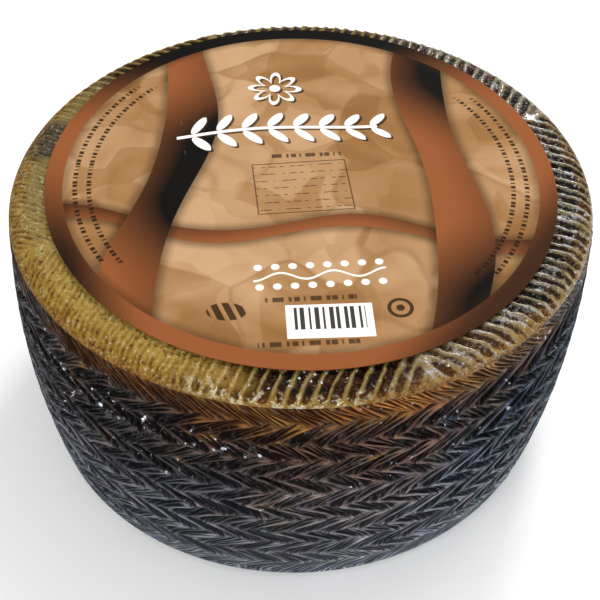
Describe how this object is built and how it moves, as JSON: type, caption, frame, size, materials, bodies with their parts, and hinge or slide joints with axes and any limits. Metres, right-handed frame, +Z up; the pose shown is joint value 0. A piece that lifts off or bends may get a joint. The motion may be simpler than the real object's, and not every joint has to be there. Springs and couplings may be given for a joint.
{
  "type": "sheep milk cheese",
  "caption": "Whole drum-shaped pressed cheese with a plaited grass imprint round its side, a ribbed rim and a round paper label on its top.",
  "frame": {"origin": "middle of the wheel's flat base", "axes": "+Z up along the wheel's axis, -Y towards the side that the picture shows"},
  "size_m": [0.2012, 0.1956, 0.1041],
  "materials": {
    "rind": "oiled dark rind, olive gold on the ribbed rim and brown to black on the plaited side",
    "printed_paper": "smooth coated paper printed in tan, copper and near-black"
  },
  "bodies": {
    "root": {"cheese_wheel": "rind", "paper_label": "printed_paper"}
  },
  "joints": []
}
